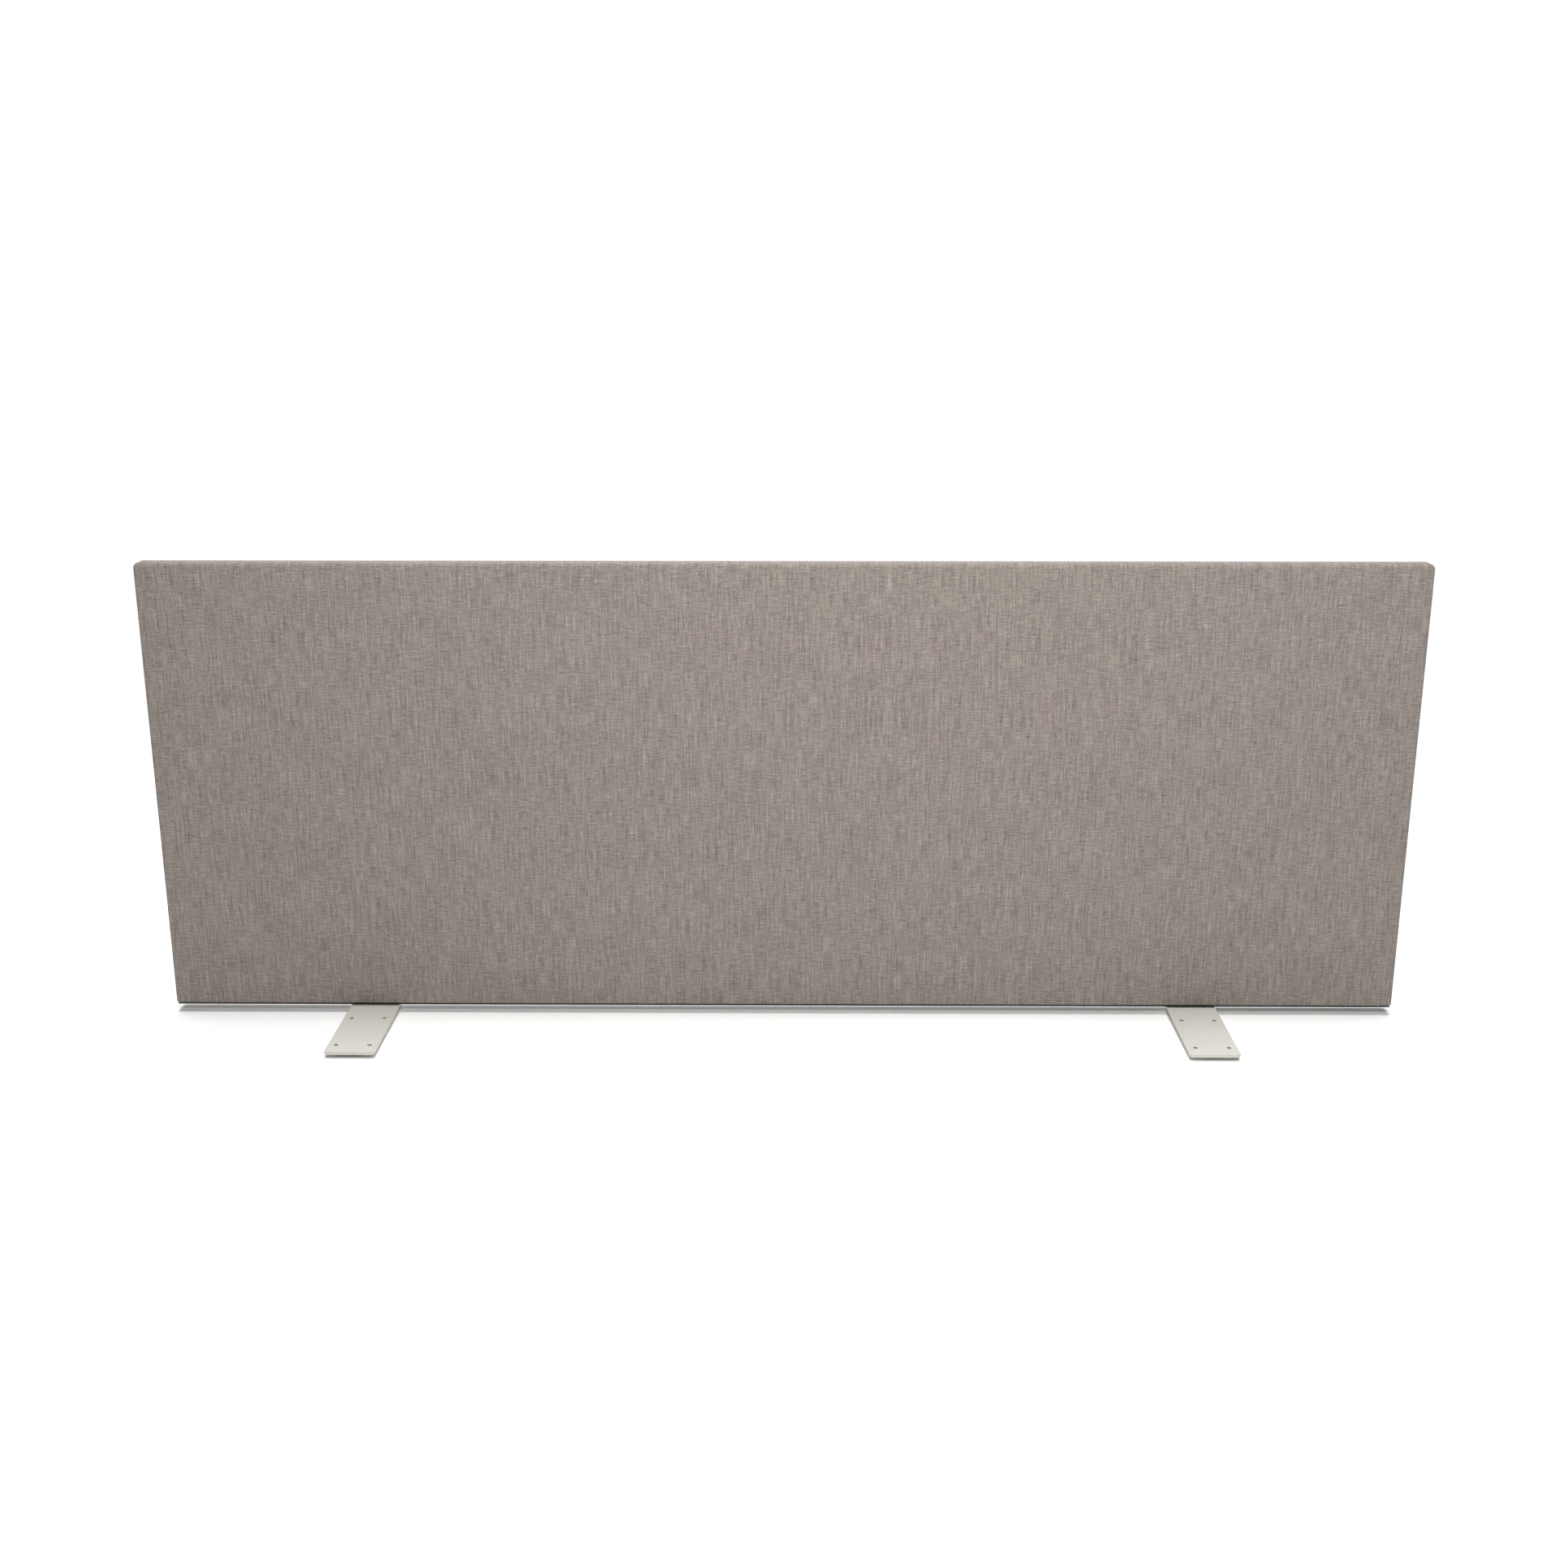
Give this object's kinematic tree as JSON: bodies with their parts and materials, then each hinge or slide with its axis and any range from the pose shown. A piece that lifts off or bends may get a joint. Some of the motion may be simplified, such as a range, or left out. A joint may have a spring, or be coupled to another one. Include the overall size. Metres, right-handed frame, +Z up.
{
  "type": "desk privacy panel",
  "caption": "Flat fabric covered privacy panel for a desk's rear edge, with a slotted bottom rail and sliding under-desk brackets.",
  "frame": {"origin": "middle of the bottom rail's underside, in the plane of the worktop's underside and of the bracket plates' top faces; halfway along the panel and halfway through its thickness", "axes": "+X along the panel, to the right of a person sitting at the desk; -Y towards that person; +Z up"},
  "size_m": [1.524, 0.1625, 0.5672],
  "materials": {
    "woven_cover": "matte",
    "fleece": "matte",
    "fibreboard": "matte",
    "felt_core": "matte",
    "softwood": "matte",
    "dowel_wood": "matte",
    "black_anodised": "satin",
    "black_nylon": "matte",
    "hem_strip_plastic": "satin",
    "zinc_screw": "satin",
    "powder_coat": "satin",
    "zinc_nut": "satin",
    "black_bolt": "satin",
    "zinc_washer": "satin"
  },
  "bodies": {
    "panel": {"cover_front": "woven_cover", "cover_back": "woven_cover", "fleece_front": "fleece", "fleece_back": "fleece", "board_front": "fibreboard", "board_back": "fibreboard", "core_left": "felt_core", "core_right": "felt_core", "top_rail": "softwood", "left_stile": "softwood", "right_stile": "softwood", "middle_stile": "softwood", "frame_dowels": "dowel_wood", "bottom_rail": "black_anodised", "left_end_cap": "black_nylon", "right_end_cap": "black_nylon", "front_hem_strip": "hem_strip_plastic", "back_hem_strip": "hem_strip_plastic", "stile_screws": "zinc_screw", "front_rail_screws": "zinc_screw", "back_rail_screws": "zinc_screw"},
    "left_slider": {"left_slot_nuts": "zinc_nut", "left_bolts": "black_bolt", "left_washers": "zinc_washer"},
    "right_slider": {"right_slot_nuts": "zinc_nut", "right_bolts": "black_bolt", "right_washers": "zinc_washer"},
    "left_bracket": {"left_bracket": "powder_coat"},
    "right_bracket": {"right_bracket": "powder_coat"}
  },
  "joints": [
    {"name": "left_bolts_along_slot", "type": "slide", "parent": "panel", "child": "left_slider", "axis": [1, 0, 0], "range_m": [-0.19, 0.46]},
    {"name": "right_bolts_along_slot", "type": "slide", "parent": "panel", "child": "right_slider", "axis": [-1, 0, 0], "range_m": [-0.19, 0.46]},
    {"name": "left_bracket_in_slots", "type": "slide", "parent": "left_slider", "child": "left_bracket", "axis": [0, -1, 0], "range_m": [-0.005, 0.005]},
    {"name": "right_bracket_in_slots", "type": "slide", "parent": "right_slider", "child": "right_bracket", "axis": [0, -1, 0], "range_m": [-0.005, 0.005]}
  ]
}
